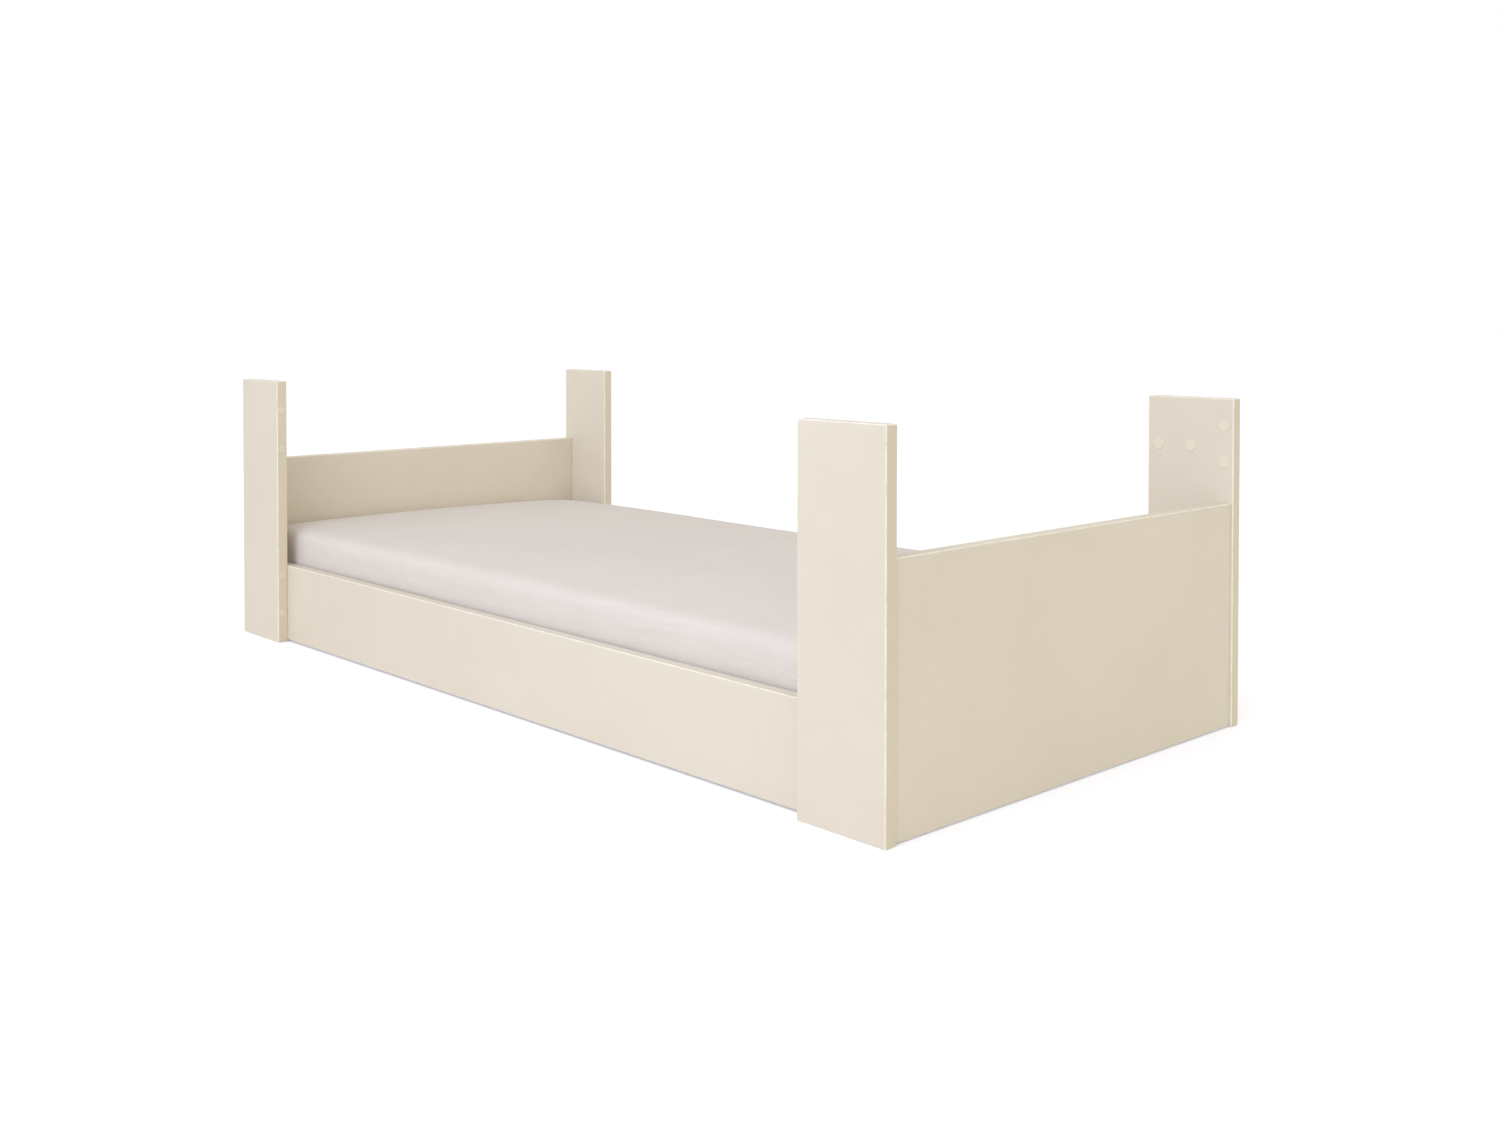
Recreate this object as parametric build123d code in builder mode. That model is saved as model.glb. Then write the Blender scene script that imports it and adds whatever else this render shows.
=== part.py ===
from build123d import *
import os

# A low single bed of lacquered boards with four tall board posts, holding a 900 x 2000 mm mattress.
# Millimetres. X runs along the bed towards its foot, Y across it towards the rear, Z up from the floor.
# The origin is on the floor under the middle of the bed.

os.makedirs("parts", exist_ok=True)

# Driving dimensions
BED_LENGTH = 2070
BED_WIDTH = 1006
BOARD = 25
POST_WIDTH = 180
POST_HEIGHT = 618
PANEL_BOTTOM = 2
PANEL_TOP = 422
PANEL_RECESS = 4
RAIL_BOTTOM = 4
RAIL_TOP = 181
RAIL_END_GAP = 1
BOARD_ARRIS = 2.5

MATTRESS_LENGTH = 2000
MATTRESS_WIDTH = 900
MATTRESS_TOP = 258
MATTRESS_CLEARANCE = 0.3
MATTRESS_CORNER = 32
MATTRESS_EDGE = 16
SHEET_THICKNESS = 1
SHEET_TUCK = 90

LEDGER_WIDTH = 25
LEDGER_HEIGHT = 20
LEDGER_LENGTH = 1980
SLAT_COUNT = 16
SLAT_PITCH = 126
SLAT_LENGTH = 896
SLAT_WIDTH = 70
SLAT_THICKNESS = 17
SLAT_TOP = 138
PINE_ARRIS = 3

STRAP_Y = 300
STRAP_WIDTH = 25
STRAP_THICKNESS = 1.5
STRAP_OVERHANG = 5
STAPLE_WIRE = 1.2
STAPLE_SPAN = 12
STAPLE_LEG = 11

# Fixings: every post has a pattern of inserts at its bottom, and the foot posts the same at their top.
RAIL_FIXING_HEIGHT = 93
RAIL_FIXINGS_FROM_END = (89, 157)
CAM_HEIGHTS = (52, 120)
CAM_AXIS_DEPTH = 10
CAM_SETBACK = 34
CAM_DIAMETER = 15
CAM_DEPTH = 13.5
CAM_PLAY = 0.1
CAM_BOLT_BODY = 7
DOWEL_HEIGHTS = (302, 370)
DOWEL_DIAMETER = 8
DOWEL_IN_POST = 12
DOWEL_IN_PANEL = 22
DOWEL_END_SPACE = 1
THREAD = 6
INSERT_DIAMETER = 10
INSERT_LENGTH = 13
THREAD_GRIP = 10
BOLT_HOLE = 7
BOLT_HEAD_DIAMETER = 14
BOLT_HEAD_HEIGHT = 3
SOCKET_SIZE = 4
SOCKET_DEPTH = 2
CAP_DIAMETER = 22
CAP_HEIGHT = 1.2
CAP_ROUNDING = 0.7
CAP_STEM_LENGTH = 8
CAP_STEM_PLAY = 0.1
EDGE_CAP_DIAMETER = 19
EDGE_HOLE_DIAMETER = 8
EDGE_HOLE_DEPTH = 30
EDGE_CAP_HEIGHTS = (69, 160, POST_HEIGHT - 160, POST_HEIGHT - 69)
SCREW_PITCH = 300
SCREWS_PER_LEDGER = 7
SCREW_DIAMETER = 4
SCREW_HEAD = 8
SCREW_LENGTH = 40

# Worked out from them
HALF_LENGTH = BED_LENGTH / 2
POST_CENTRE_X = HALF_LENGTH - POST_WIDTH / 2
POST_CENTRE_Y = (BED_WIDTH - BOARD) / 2
POST_INNER_EDGE = HALF_LENGTH - POST_WIDTH
POST_INNER_FACE = BED_WIDTH / 2 - BOARD
PANEL_OUTER_FACE = HALF_LENGTH - PANEL_RECESS
PANEL_INNER_FACE = PANEL_OUTER_FACE - BOARD
CAM_LINE = PANEL_INNER_FACE + CAM_AXIS_DEPTH
RAIL_INNER_FACE = POST_INNER_FACE - BOARD
RAIL_LENGTH = 2 * (PANEL_INNER_FACE - RAIL_END_GAP)
LEDGER_TOP = SLAT_TOP - SLAT_THICKNESS
LEDGER_INNER_FACE = RAIL_INNER_FACE - LEDGER_WIDTH
SLAT_BOTTOM = LEDGER_TOP
STRAP_BOTTOM = SLAT_BOTTOM - STRAP_THICKNESS
STRAP_LENGTH = (SLAT_COUNT - 1) * SLAT_PITCH + SLAT_WIDTH + 2 * STRAP_OVERHANG
MATTRESS_BOTTOM = SLAT_TOP + MATTRESS_CLEARANCE
SCREW_HEAD_HEIGHT = (SCREW_HEAD - SCREW_DIAMETER) / 2

CORNERS = {"foot_front": (1, -1), "foot_rear": (1, 1), "head_front": (-1, -1), "head_rear": (-1, 1)}
ENDS = {"foot": 1, "head": -1}
SIDES = {"front": -1, "rear": 1}
SLAT_XS = [(i - (SLAT_COUNT - 1) / 2) * SLAT_PITCH for i in range(SLAT_COUNT)]
STAPLE_PLACES = [(x, s * STRAP_Y) for x in SLAT_XS for s in (-1, 1)]
STAPLE_LEGS = [(STAPLE_WIRE - STAPLE_SPAN) / 2, (STAPLE_SPAN - STAPLE_WIRE) / 2]
SCREW_XS = [(i - (SCREWS_PER_LEDGER - 1) / 2) * SCREW_PITCH for i in range(SCREWS_PER_LEDGER)]


def lengthwise(y):
    """The upright plane along the bed at y. It faces the front, and its own axes are X and Z."""
    return Plane.XZ.offset(-y)


def crosswise(x):
    """The upright plane across the bed at x. It faces the foot, and its own axes are Y and Z."""
    return Plane.YZ.offset(x)


def rail_bolt_places(end):
    """The (x, z) of the two bolts that hold a rail to a post."""
    return [(end * (HALF_LENGTH - d), RAIL_FIXING_HEIGHT) for d in RAIL_FIXINGS_FROM_END]


def used_inserts(end):
    """The (x, z) of the four inserts at a post's bottom, two for the rail and two for the panel."""
    return rail_bolt_places(end) + [(end * CAM_LINE, z) for z in CAM_HEIGHTS]


def spare_inserts(end):
    """The same pattern mirrored to the top of a post. Only the foot posts have it."""
    return [(x, POST_HEIGHT - z) for x, z in used_inserts(end)] if end == ENDS["foot"] else []


RAIL_BOLT_PLACES = rail_bolt_places(ENDS["foot"]) + rail_bolt_places(ENDS["head"])


def soft_block(inset):
    """The mattress's outer shape, drawn in by inset on every side."""
    with BuildPart() as block:
        with BuildSketch(Plane.XY.offset(MATTRESS_BOTTOM + inset)):
            RectangleRounded(
                MATTRESS_LENGTH - 2 * inset, MATTRESS_WIDTH - 2 * inset, MATTRESS_CORNER - inset
            )
        extrude(amount=MATTRESS_TOP - MATTRESS_BOTTOM - 2 * inset)
        rims = block.edges().group_by(Axis.Z)
        fillet(rims[0] + rims[-1], MATTRESS_EDGE - inset)
    return block.part


# Posts: upright boards with insert holes in the inner face. The front ones have plugged edge holes too.
for corner, (end, side) in CORNERS.items():
    with BuildPart() as post:
        with BuildSketch(lengthwise(side * BED_WIDTH / 2)):
            with Locations((end * POST_CENTRE_X, POST_HEIGHT / 2)):
                Rectangle(POST_WIDTH, POST_HEIGHT)
        extrude(amount=side * BOARD)
        fillet(post.edges(), BOARD_ARRIS)
        with BuildSketch(lengthwise(side * POST_INNER_FACE)):
            with Locations(*used_inserts(end), *spare_inserts(end)):
                Circle(INSERT_DIAMETER / 2)
        extrude(amount=-side * INSERT_LENGTH, mode=Mode.SUBTRACT)
        with BuildSketch(lengthwise(side * POST_INNER_FACE)):
            with Locations(*[(end * CAM_LINE, z) for z in DOWEL_HEIGHTS]):
                Circle(DOWEL_DIAMETER / 2)
        extrude(amount=-side * (DOWEL_IN_POST + DOWEL_END_SPACE), mode=Mode.SUBTRACT)
        if side == SIDES["front"]:
            with BuildSketch(crosswise(end * POST_INNER_EDGE)):
                with Locations(*[(side * POST_CENTRE_Y, z) for z in EDGE_CAP_HEIGHTS]):
                    Circle(EDGE_HOLE_DIAMETER / 2)
            extrude(amount=end * EDGE_HOLE_DEPTH, mode=Mode.SUBTRACT)
    post.part.label = f"post_{corner}"
    export_step(post.part, f"parts/post_{corner}.step")

# End panels: boards between the posts, bored for cam locks, cam bolts and dowels.
for end_name, end in ENDS.items():
    with BuildPart() as panel:
        with BuildSketch(crosswise(end * PANEL_OUTER_FACE)):
            with Locations((0, (PANEL_BOTTOM + PANEL_TOP) / 2)):
                Rectangle(2 * POST_INNER_FACE, PANEL_TOP - PANEL_BOTTOM)
        extrude(amount=-end * BOARD)
        fillet(panel.edges(), BOARD_ARRIS)
        for side in SIDES.values():
            with BuildSketch(crosswise(end * PANEL_INNER_FACE)):
                with Locations(*[(side * (POST_INNER_FACE - CAM_SETBACK), z) for z in CAM_HEIGHTS]):
                    Circle(CAM_DIAMETER / 2)
            extrude(amount=end * CAM_DEPTH, mode=Mode.SUBTRACT)
            with BuildSketch(lengthwise(side * POST_INNER_FACE)):
                with Locations(*[(end * CAM_LINE, z) for z in CAM_HEIGHTS]):
                    Circle(DOWEL_DIAMETER / 2)
            extrude(amount=side * CAM_SETBACK, mode=Mode.SUBTRACT)
            with BuildSketch(lengthwise(side * POST_INNER_FACE)):
                with Locations(*[(end * CAM_LINE, z) for z in DOWEL_HEIGHTS]):
                    Circle(DOWEL_DIAMETER / 2)
            extrude(amount=side * (DOWEL_IN_PANEL + DOWEL_END_SPACE), mode=Mode.SUBTRACT)
    panel.part.label = f"{end_name}_panel"
    export_step(panel.part, f"parts/{end_name}_panel.step")

# Side rails: boards lapped on the posts' inner faces, bored for their bolts and the ledger screws.
for side_name, side in SIDES.items():
    with BuildPart() as rail:
        with BuildSketch(lengthwise(side * POST_INNER_FACE)):
            with Locations((0, (RAIL_BOTTOM + RAIL_TOP) / 2)):
                Rectangle(RAIL_LENGTH, RAIL_TOP - RAIL_BOTTOM)
        extrude(amount=side * BOARD)
        fillet(rail.edges(), BOARD_ARRIS)
        with BuildSketch(lengthwise(side * POST_INNER_FACE)):
            with Locations(*RAIL_BOLT_PLACES):
                Circle(BOLT_HOLE / 2)
        extrude(amount=side * BOARD, mode=Mode.SUBTRACT)
        with BuildSketch(lengthwise(side * RAIL_INNER_FACE)):
            with Locations(*[(x, LEDGER_TOP - LEDGER_HEIGHT / 2) for x in SCREW_XS]):
                Circle(SCREW_DIAMETER / 2)
        extrude(amount=-side * (SCREW_LENGTH - LEDGER_WIDTH), mode=Mode.SUBTRACT)
    rail.part.label = f"{side_name}_rail"
    export_step(rail.part, f"parts/{side_name}_rail.step")

# Ledgers: pine strips on the rails' inner faces that carry the slats, with countersunk screw holes.
for side_name, side in SIDES.items():
    with BuildPart() as ledger:
        with BuildSketch(lengthwise(side * RAIL_INNER_FACE)):
            with Locations((0, LEDGER_TOP - LEDGER_HEIGHT / 2)):
                Rectangle(LEDGER_LENGTH, LEDGER_HEIGHT)
        extrude(amount=side * LEDGER_WIDTH)
        fillet(ledger.edges().filter_by(Axis.X), PINE_ARRIS / 2)
        with BuildSketch(lengthwise(side * LEDGER_INNER_FACE)):
            with Locations(*[(x, LEDGER_TOP - LEDGER_HEIGHT / 2) for x in SCREW_XS]):
                Circle(SCREW_DIAMETER / 2)
        extrude(amount=-side * LEDGER_WIDTH, mode=Mode.SUBTRACT)
        with BuildSketch(lengthwise(side * LEDGER_INNER_FACE)):
            with Locations(*[(x, LEDGER_TOP - LEDGER_HEIGHT / 2) for x in SCREW_XS]):
                Circle(SCREW_HEAD / 2)
        extrude(amount=-side * SCREW_HEAD_HEIGHT, taper=45, mode=Mode.SUBTRACT)
    ledger.part.label = f"{side_name}_ledger"
    export_step(ledger.part, f"parts/{side_name}_ledger.step")

# Countersunk screws that hold both ledgers to the rails.
with BuildPart() as ledger_screws:
    for side in SIDES.values():
        with BuildSketch(lengthwise(side * LEDGER_INNER_FACE)):
            with Locations(*[(x, LEDGER_TOP - LEDGER_HEIGHT / 2) for x in SCREW_XS]):
                Circle(SCREW_HEAD / 2)
        extrude(amount=-side * SCREW_HEAD_HEIGHT, taper=45)
        with BuildSketch(lengthwise(side * (LEDGER_INNER_FACE + SCREW_HEAD_HEIGHT))):
            with Locations(*[(x, LEDGER_TOP - LEDGER_HEIGHT / 2) for x in SCREW_XS]):
                Circle(SCREW_DIAMETER / 2)
        extrude(amount=-side * (SCREW_LENGTH - SCREW_HEAD_HEIGHT))
ledger_screws.part.label = "ledger_screws"
export_step(ledger_screws.part, "parts/ledger_screws.step")

# Threaded inserts: sleeves pressed into the posts.
for end_name, end in ENDS.items():
    with BuildPart() as inserts:
        for side in SIDES.values():
            with BuildSketch(lengthwise(side * POST_INNER_FACE)):
                with Locations(*used_inserts(end), *spare_inserts(end)):
                    Circle(INSERT_DIAMETER / 2)
                    Circle(THREAD / 2, mode=Mode.SUBTRACT)
            extrude(amount=-side * INSERT_LENGTH)
    inserts.part.label = f"{end_name}_threaded_inserts"
    export_step(inserts.part, f"parts/{end_name}_threaded_inserts.step")

# Rail bolts: driven from inside the bed through the rails into the posts' lower inserts.
for side_name, side in SIDES.items():
    with BuildPart() as bolts:
        with BuildSketch(lengthwise(side * (RAIL_INNER_FACE - BOLT_HEAD_HEIGHT))):
            with Locations(*RAIL_BOLT_PLACES):
                Circle(BOLT_HEAD_DIAMETER / 2)
        extrude(amount=-side * BOLT_HEAD_HEIGHT)
        with BuildSketch(lengthwise(side * RAIL_INNER_FACE)):
            with Locations(*RAIL_BOLT_PLACES):
                Circle(THREAD / 2)
        extrude(amount=-side * (BOARD + THREAD_GRIP))
        with BuildSketch(lengthwise(side * (RAIL_INNER_FACE - BOLT_HEAD_HEIGHT))):
            with Locations(*RAIL_BOLT_PLACES):
                RegularPolygon(SOCKET_SIZE / 2, 6, major_radius=False)
        extrude(amount=-side * SOCKET_DEPTH, mode=Mode.SUBTRACT)
    bolts.part.label = f"{side_name}_rail_bolts"
    export_step(bolts.part, f"parts/{side_name}_rail_bolts.step")

# Cam bolts: screwed into the posts' lower inserts, with a plain body that reaches the cam.
for end_name, end in ENDS.items():
    cam_bolt_places = [(end * CAM_LINE, z) for z in CAM_HEIGHTS]
    with BuildPart() as cam_bolts:
        for side in SIDES.values():
            with BuildSketch(lengthwise(side * POST_INNER_FACE)):
                with Locations(*cam_bolt_places):
                    Circle(THREAD / 2)
            extrude(amount=-side * THREAD_GRIP)
            with BuildSketch(lengthwise(side * POST_INNER_FACE)):
                with Locations(*cam_bolt_places):
                    Circle(CAM_BOLT_BODY / 2)
            extrude(amount=side * CAM_SETBACK)
    cam_bolts.part.label = f"{end_name}_cam_bolts"
    export_step(cam_bolts.part, f"parts/{end_name}_cam_bolts.step")

# Cam locks: round zinc cams in the panels' inner faces, open to their bolt and slotted for a driver.
for end_name, end in ENDS.items():
    with BuildPart() as cam_locks:
        for side in SIDES.values():
            cam_y = side * (POST_INNER_FACE - CAM_SETBACK)
            with BuildSketch(crosswise(end * PANEL_INNER_FACE)):
                with Locations(*[(cam_y, z) for z in CAM_HEIGHTS]):
                    Circle(CAM_DIAMETER / 2 - CAM_PLAY)
            extrude(amount=end * CAM_DEPTH)
            with BuildSketch(crosswise(end * PANEL_INNER_FACE)):
                with Locations(*[(cam_y, z) for z in CAM_HEIGHTS]):
                    Rectangle(CAM_DIAMETER / 2, SOCKET_DEPTH)
                    Rectangle(SOCKET_DEPTH, CAM_DIAMETER / 2)
            extrude(amount=end * SOCKET_DEPTH, mode=Mode.SUBTRACT)
            with BuildSketch(lengthwise(side * POST_INNER_FACE)):
                with Locations(*[(end * CAM_LINE, z) for z in CAM_HEIGHTS]):
                    Circle(CAM_BOLT_BODY / 2 + CAM_PLAY)
            extrude(amount=side * (CAM_SETBACK + CAM_PLAY), mode=Mode.SUBTRACT)
    cam_locks.part.label = f"{end_name}_cam_locks"
    export_step(cam_locks.part, f"parts/{end_name}_cam_locks.step")

# Dowels: beech pegs that line the panels up with the posts.
for end_name, end in ENDS.items():
    with BuildPart() as dowels:
        for side in SIDES.values():
            with BuildSketch(lengthwise(side * (POST_INNER_FACE + DOWEL_IN_POST))):
                with Locations(*[(end * CAM_LINE, z) for z in DOWEL_HEIGHTS]):
                    Circle(DOWEL_DIAMETER / 2)
            extrude(amount=side * (DOWEL_IN_POST + DOWEL_IN_PANEL))
        chamfer(dowels.edges(), DOWEL_END_SPACE)
    dowels.part.label = f"{end_name}_dowels"
    export_step(dowels.part, f"parts/{end_name}_dowels.step")

# Cover caps: low plastic discs with a stem, over the spare inserts near the top of each foot post.
for side_name, side in SIDES.items():
    with BuildPart() as caps:
        with BuildSketch(lengthwise(side * POST_INNER_FACE)):
            with Locations(*spare_inserts(ENDS["foot"])):
                Circle(CAP_DIAMETER / 2)
        extrude(amount=side * CAP_HEIGHT)
        fillet(caps.edges().group_by(Axis.Y)[-1 if side < 0 else 0], CAP_ROUNDING)
        with BuildSketch(lengthwise(side * POST_INNER_FACE)):
            with Locations(*spare_inserts(ENDS["foot"])):
                Circle(THREAD / 2 - CAP_STEM_PLAY)
        extrude(amount=-side * CAP_STEM_LENGTH)
    caps.part.label = f"cover_caps_foot_{side_name}"
    export_step(caps.part, f"parts/cover_caps_foot_{side_name}.step")

# Edge caps: the same discs, slightly smaller, over the holes in each front post's inner edge.
for end_name, end in ENDS.items():
    with BuildPart() as edge_caps:
        with BuildSketch(crosswise(end * POST_INNER_EDGE)):
            with Locations(*[(-POST_CENTRE_Y, z) for z in EDGE_CAP_HEIGHTS]):
                Circle(EDGE_CAP_DIAMETER / 2)
        extrude(amount=-end * CAP_HEIGHT)
        fillet(edge_caps.edges().group_by(Axis.X)[0 if end > 0 else -1], CAP_ROUNDING)
        with BuildSketch(crosswise(end * POST_INNER_EDGE)):
            with Locations(*[(-POST_CENTRE_Y, z) for z in EDGE_CAP_HEIGHTS]):
                Circle(EDGE_HOLE_DIAMETER / 2 - CAP_STEM_PLAY)
        extrude(amount=end * CAP_STEM_LENGTH)
    edge_caps.part.label = f"edge_caps_{end_name}_front"
    export_step(edge_caps.part, f"parts/edge_caps_{end_name}_front.step")

# Slats: planed pine with rounded edges, bored underneath for the staples' legs.
for number, slat_x in enumerate(SLAT_XS, start=1):
    with BuildPart() as slat:
        with BuildSketch(Plane.XY.offset(SLAT_BOTTOM)):
            with Locations((slat_x, 0)):
                Rectangle(SLAT_WIDTH, SLAT_LENGTH)
        extrude(amount=SLAT_THICKNESS)
        fillet(slat.edges().filter_by(Axis.Y), PINE_ARRIS)
        with BuildSketch(Plane.XY.offset(SLAT_BOTTOM)):
            with Locations(*[(slat_x, s * STRAP_Y + leg) for s in (-1, 1) for leg in STAPLE_LEGS]):
                Circle(STAPLE_WIRE / 2)
        extrude(amount=STAPLE_LEG - STRAP_THICKNESS, mode=Mode.SUBTRACT)
    slat.part.label = f"slat_{number:02d}"
    export_step(slat.part, f"parts/slat_{number:02d}.step")

# Straps: webbing under the slats that keeps them spaced when the base is rolled out.
for side_name, side in SIDES.items():
    with BuildPart() as strap:
        with BuildSketch(Plane.XY.offset(STRAP_BOTTOM)):
            with Locations((0, side * STRAP_Y)):
                Rectangle(STRAP_LENGTH, STRAP_WIDTH)
            with Locations(*[(x, side * STRAP_Y + leg) for x in SLAT_XS for leg in STAPLE_LEGS]):
                Circle(STAPLE_WIRE / 2, mode=Mode.SUBTRACT)
        extrude(amount=STRAP_THICKNESS)
    strap.part.label = f"{side_name}_strap"
    export_step(strap.part, f"parts/{side_name}_strap.step")

# Staples: one through each strap into each slat, with a flat crown under the strap.
with BuildPart() as staples:
    with BuildSketch(Plane.XY.offset(STRAP_BOTTOM - STAPLE_WIRE)):
        with Locations(*STAPLE_PLACES):
            Rectangle(STAPLE_WIRE, STAPLE_SPAN)
    extrude(amount=STAPLE_WIRE)
    with BuildSketch(Plane.XY.offset(STRAP_BOTTOM)):
        with Locations(*[(x, y + leg) for x, y in STAPLE_PLACES for leg in STAPLE_LEGS]):
            Circle(STAPLE_WIRE / 2)
    extrude(amount=STAPLE_LEG)
staples.part.label = "strap_staples"
export_step(staples.part, "parts/strap_staples.step")

# Mattress: a foam core with rounded corners and edges, inside its sheet.
mattress_block = soft_block(SHEET_THICKNESS + MATTRESS_CLEARANCE)
with BuildPart() as mattress_core:
    add(mattress_block)
mattress_core.part.label = "mattress_core"
export_step(mattress_core.part, "parts/mattress_core.step")

# Fitted sheet: a thin cover over the top and sides that turns in under the mattress.
sheet_outside = soft_block(0)
sheet_inside = soft_block(SHEET_THICKNESS)
with BuildPart() as fitted_sheet:
    add(sheet_outside)
    add(sheet_inside, mode=Mode.SUBTRACT)
    with BuildSketch(Plane.XY.offset(MATTRESS_BOTTOM)):
        RectangleRounded(
            MATTRESS_LENGTH - 2 * SHEET_TUCK, MATTRESS_WIDTH - 2 * SHEET_TUCK, MATTRESS_CORNER
        )
    extrude(amount=SHEET_THICKNESS, mode=Mode.SUBTRACT)
fitted_sheet.part.label = "fitted_sheet"
export_step(fitted_sheet.part, "parts/fitted_sheet.step")
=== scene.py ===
import bmesh
import bpy
import math
from bpy.props import FloatProperty, FloatVectorProperty, PointerProperty
from mathutils import Matrix, Vector, noise


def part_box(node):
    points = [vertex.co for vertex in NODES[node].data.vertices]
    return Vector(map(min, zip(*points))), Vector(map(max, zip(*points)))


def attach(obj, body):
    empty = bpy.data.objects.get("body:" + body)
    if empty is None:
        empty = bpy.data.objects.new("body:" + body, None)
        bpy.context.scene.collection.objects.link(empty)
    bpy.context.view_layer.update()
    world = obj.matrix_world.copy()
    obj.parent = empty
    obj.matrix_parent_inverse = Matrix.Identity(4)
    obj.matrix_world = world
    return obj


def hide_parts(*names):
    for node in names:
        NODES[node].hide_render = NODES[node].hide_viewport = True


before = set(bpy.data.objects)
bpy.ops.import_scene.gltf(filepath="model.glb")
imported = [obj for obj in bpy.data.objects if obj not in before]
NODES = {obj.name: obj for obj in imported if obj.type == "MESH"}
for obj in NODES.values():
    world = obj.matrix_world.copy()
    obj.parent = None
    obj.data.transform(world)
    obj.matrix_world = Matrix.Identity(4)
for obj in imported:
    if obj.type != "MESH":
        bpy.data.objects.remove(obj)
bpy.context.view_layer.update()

bl_info = {
    "name": "Board Post Bed",
    "version": (1, 0, 0),
    "blender": (4, 5, 0),
    "location": "View3D > Sidebar > Bed",
    "description": "Finishes a low bed: lacquered boards, pine, fixings, mattress and fitted sheet",
    "category": "Object",
}

POSTS = sorted(n for n in NODES if n.startswith("post_"))
PANELS = sorted(n for n in NODES if n.endswith("_panel"))
RAILS = sorted(n for n in NODES if n.endswith("_rail"))
SLATS = sorted(n for n in NODES if n.startswith("slat_"))
LEDGERS = sorted(n for n in NODES if n.endswith("_ledger"))
COVER_CAPS = sorted(n for n in NODES if n.startswith("cover_caps_"))
EDGE_CAPS = sorted(n for n in NODES if n.startswith("edge_caps_"))
STRAPS = sorted(n for n in NODES if n.endswith("_strap"))
DOWELS = sorted(n for n in NODES if n.endswith("_dowels"))
CASTINGS = sorted(n for n in NODES if n.endswith("_cam_locks"))
PLATED = sorted(n for n in NODES if n.endswith(("_screws", "_bolts", "_inserts", "_staples")))

# The directions that the broad faces of each kind of board look in.
ALONG = Vector((1, 0, 0))
ACROSS = Vector((0, 1, 0))

SHEET_LOW, SHEET_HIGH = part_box("fitted_sheet")
SLAT_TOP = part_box(SLATS[0])[1].z

# Metres: how far each cover is drawn in from the made-up mattress, and how far it stays above the slats.
TICKING_INSET = 0.0035
TICKING_REST = 0.003
SHEET_INSET = 0.0005
SHEET_REST = 0.0012
SHEET_THICKNESS = 0.0008
# How far past the mattress's sides the sheet's ripples may reach.
SHEET_SLACK = 0.0018
# The hem's gathers: how deep, how close together, and how wide a band round the opening has them.
GATHER_DEPTH = 0.0007
GATHER_RATE = 300.0
GATHER_BAND = 0.035
# The height over which the crown fades in, above the middle of the mattress's sides.
CROWN_FADE = 0.04
# The share of the half length at which the top starts to fall towards an end.
END_FALL_START = 0.88
FOAM_FRAMES = 20
FLOOR_HALF_SIZE = 40.0


# Settings


class BoardFinish(bpy.types.PropertyGroup):
    face_colour: FloatVectorProperty(
        name="Face", description="Lacquer on the boards' broad faces", subtype="COLOR",
        default=(0.76, 0.70, 0.60),
    )
    # Painted light: the end panels' lacquer is a warmer copy of the face lacquer. It stands in for warmer
    # light on the faces that look along the bed.
    panel_warm_light_colour: FloatVectorProperty(
        name="Panel", description="Lacquer on the end panels, a warmer batch", subtype="COLOR",
        default=(0.768, 0.696, 0.569),
    )
    edge_colour: FloatVectorProperty(
        name="Edge", description="Lacquer on the boards' upright thin edges", subtype="COLOR",
        default=(0.725, 0.645, 0.49),
    )
    cap_colour: FloatVectorProperty(
        name="Cover caps", description="Plastic of the caps on broad faces", subtype="COLOR",
        default=(0.775, 0.735, 0.61),
    )
    edge_cap_colour: FloatVectorProperty(
        name="Edge caps", description="Plastic of the caps in thin edges", subtype="COLOR",
        default=(0.745, 0.675, 0.53),
    )
    # The band along each arris holds a painted highlight: lighter lacquer that stands in for light caught
    # on the rounded arris.
    arris_width: FloatProperty(
        name="Arris", description="How far the rub along an arris reaches", unit="LENGTH", default=0.0035
    )


class PineFinish(bpy.types.PropertyGroup):
    pale_colour: FloatVectorProperty(
        name="Early wood", description="Pale bands of the pine", subtype="COLOR", default=(0.74, 0.57, 0.37)
    )
    dark_colour: FloatVectorProperty(
        name="Late wood", description="Dark bands of the pine", subtype="COLOR", default=(0.52, 0.33, 0.17)
    )
    ring_gap: FloatProperty(
        name="Ring gap", description="Width of one growth ring", unit="LENGTH", default=0.006
    )


class BeddingShape(bpy.types.PropertyGroup):
    sheet_colour: FloatVectorProperty(
        name="Sheet", description="Cotton of the fitted sheet", subtype="COLOR",
        default=(0.750, 0.702, 0.662),
    )
    ticking_colour: FloatVectorProperty(
        name="Ticking", description="Cover of the mattress", subtype="COLOR", default=(0.78, 0.76, 0.72)
    )
    webbing_colour: FloatVectorProperty(
        name="Webbing", description="Straps under the slats", subtype="COLOR", default=(0.66, 0.63, 0.55)
    )
    corner_radius: FloatProperty(
        name="Corner", description="Radius of the mattress's upright corners", unit="LENGTH", default=0.034
    )
    edge_radius: FloatProperty(
        name="Edge", description="Radius of the mattress's rims", unit="LENGTH", default=0.012
    )
    grid: FloatProperty(
        name="Grid", description="Spacing of the simulated cloth's points", unit="LENGTH", default=0.018
    )
    swell: FloatProperty(
        name="Swell", description="How far the foam may push its cover out", unit="LENGTH", default=0.006
    )
    crown: FloatProperty(
        name="Crown", description="How far the middle of the top stands above its rims", unit="LENGTH",
        default=0.0065,
    )
    tuck: FloatProperty(
        name="Tuck", description="How far the sheet turns in underneath", unit="LENGTH", default=0.090
    )
    thread: FloatProperty(
        name="Thread", description="Width of one cotton thread", unit="LENGTH", default=0.0004
    )


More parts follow.
